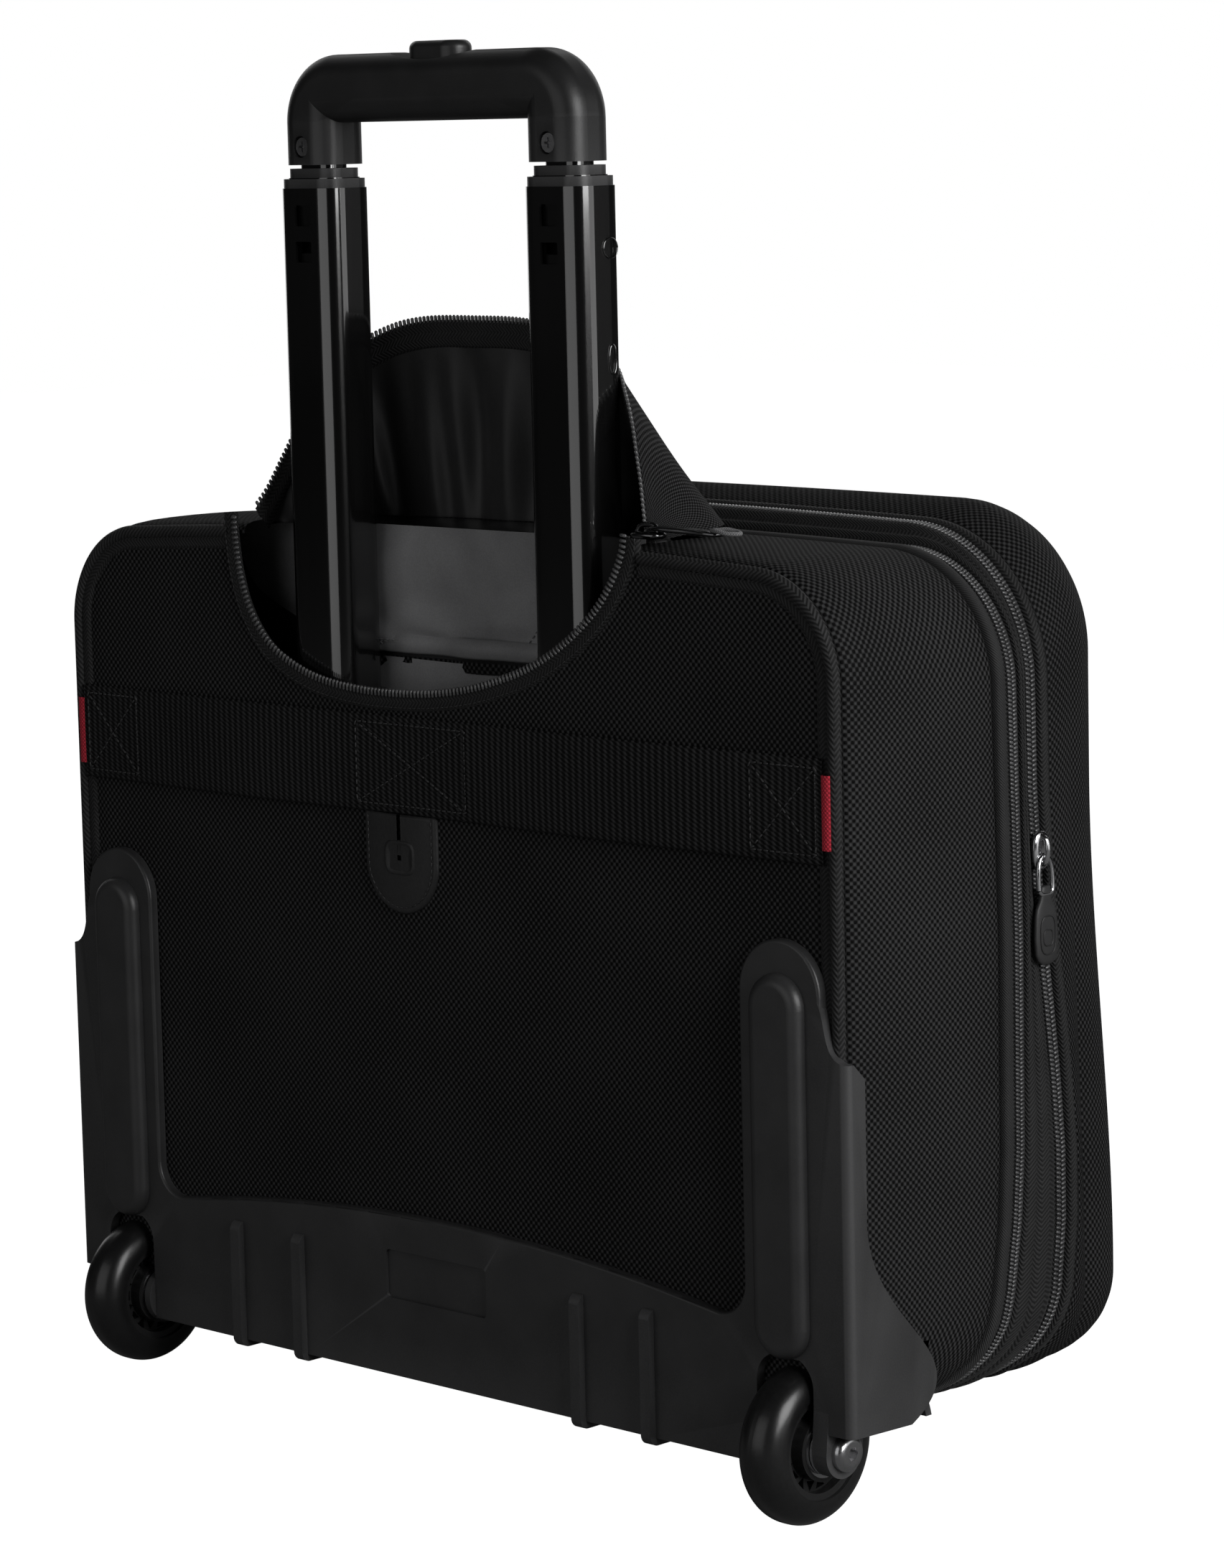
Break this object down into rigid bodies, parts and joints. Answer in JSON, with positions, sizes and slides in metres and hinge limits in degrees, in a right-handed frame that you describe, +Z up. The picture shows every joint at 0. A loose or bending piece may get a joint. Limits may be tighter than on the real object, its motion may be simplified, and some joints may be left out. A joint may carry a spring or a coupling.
{
  "type": "rolling laptop case",
  "caption": "Soft-sided black wheeled laptop case with a moulded wheel base, a telescopic pull handle rising from a U-shaped mouth, and zipped front sections.",
  "frame": {"origin": "on the floor, under the middle of the whole case", "axes": "+Z up; the back of the case with wheels and pull handle faces -Y, the front pocket section faces +Y; +X is to the right seen from behind"},
  "size_m": [0.43, 0.2106, 0.54],
  "materials": {
    "fabric": "black woven ballistic polyester, matt",
    "zip": "black coil zip on woven tape",
    "board": "plain stiffener sheet",
    "pad": "grey lined foam",
    "lining": "grey plain nylon, slight sheen",
    "webbing": "black ribbed nylon webbing",
    "red": "red ribbed binding",
    "leather": "black stamped leather",
    "moulded": "black moulded plastic, fine texture",
    "steel": "bright steel",
    "alloy": "plain aluminium",
    "anodised": "gloss black anodised",
    "black_metal": "black enamelled zinc",
    "grip": "black soft-touch plastic",
    "button": "black satin plastic",
    "tyre": "black polyurethane, semi-gloss",
    "wheel_core": "black glass-filled nylon",
    "nickel": "satin nickel",
    "pull_rubber": "black moulded rubber"
  },
  "bodies": {
    "case": {"main_section": "fabric", "back_panel": "fabric", "middle_section": "fabric", "front_section": "fabric", "back_piping": "fabric", "main_zipper": "zip", "front_zipper": "zip", "scoop_zipper": "zip", "back_board": "board", "bottom_board": "board", "laptop_divider": "pad", "trolley_lining": "lining", "luggage_strap": "webbing", "strap_end_tabs": "red", "leather_tab": "leather", "base_frame": "moulded", "handle_foot_bracket": "moulded", "sleeve_collars": "moulded", "front_feet": "moulded", "axle_nuts": "steel", "axle_washers": "steel", "left_axle_bolt": "steel", "right_axle_bolt": "steel", "bracket_screws": "steel", "sleeve_brace": "steel", "handle_sleeves": "alloy", "top_slider": "black_metal"},
    "stage_1": {"stage_1_tubes": "anodised", "stage_1_collars": "moulded", "stage_1_feet": "moulded"},
    "stage_2": {"stage_2_tubes": "anodised", "stage_2_collars": "moulded", "stage_2_feet": "moulded", "stage_2_lock_pins": "steel"},
    "handle": {"stage_3_tubes": "anodised", "stage_3_feet": "moulded", "stage_3_lock_pins": "steel", "grip_screws": "steel", "button_spring": "steel", "grip_upper_shell": "grip", "grip_lower_shell": "grip"},
    "button": {"release_button": "button", "release_yoke": "moulded", "release_rods": "steel"},
    "left_wheel": {"left_tyre": "tyre", "left_wheel_core": "wheel_core", "left_bearings": "steel"},
    "right_wheel": {"right_tyre": "tyre", "right_wheel_core": "wheel_core", "right_bearings": "steel"},
    "flap": {"mouth_flap": "fabric"},
    "side_slider": {"side_slider": "nickel"},
    "side_pull": {"side_pull": "pull_rubber"},
    "top_pull": {"top_pull": "black_metal"}
  },
  "joints": [
    {"name": "stage_1_slide", "type": "slide", "parent": "case", "child": "stage_1", "axis": [0, 0, 1], "range_m": [-0.186, 0]},
    {"name": "stage_2_slide", "type": "slide", "parent": "stage_1", "child": "stage_2", "axis": [0, 0, 1], "range_m": [0, 0.195]},
    {"name": "stage_3_slide", "type": "slide", "parent": "stage_2", "child": "handle", "axis": [0, 0, 1], "range_m": [0, 0.16]},
    {"name": "button_press", "type": "slide", "parent": "handle", "child": "button", "axis": [0, 0, -1], "range_m": [0, 0.004], "stiffness_N_per_m": 1500, "springref_m": -0.001, "deforming": ["button_spring"]},
    {"name": "left_wheel_spin", "type": "hinge", "parent": "case", "child": "left_wheel", "pos_m": [-0.1845, -0.0753, 0.03], "axis": [1, 0, 0], "continuous": true},
    {"name": "right_wheel_spin", "type": "hinge", "parent": "case", "child": "right_wheel", "pos_m": [0.1845, -0.0753, 0.03], "axis": [1, 0, 0], "continuous": true},
    {"name": "flap_hinge", "type": "hinge", "parent": "case", "child": "flap", "pos_m": [0, -0.0317, 0.3565], "axis": [1, 0, 0], "range_deg": [-75, 4]},
    {"name": "side_zip_slide", "type": "slide", "parent": "case", "child": "side_slider", "axis": [0, 0, 1], "range_m": [-0.15, 0.055]},
    {"name": "side_pull_hinge", "type": "hinge", "parent": "side_slider", "child": "side_pull", "pos_m": [0.2127, 0.0253, 0.229], "axis": [0, -1, 0], "range_deg": [0, 110]},
    {"name": "top_pull_hinge", "type": "hinge", "parent": "case", "child": "top_pull", "pos_m": [0.1162, -0.0677, 0.3591], "axis": [0, -1, 0], "range_deg": [0, 150]}
  ]
}
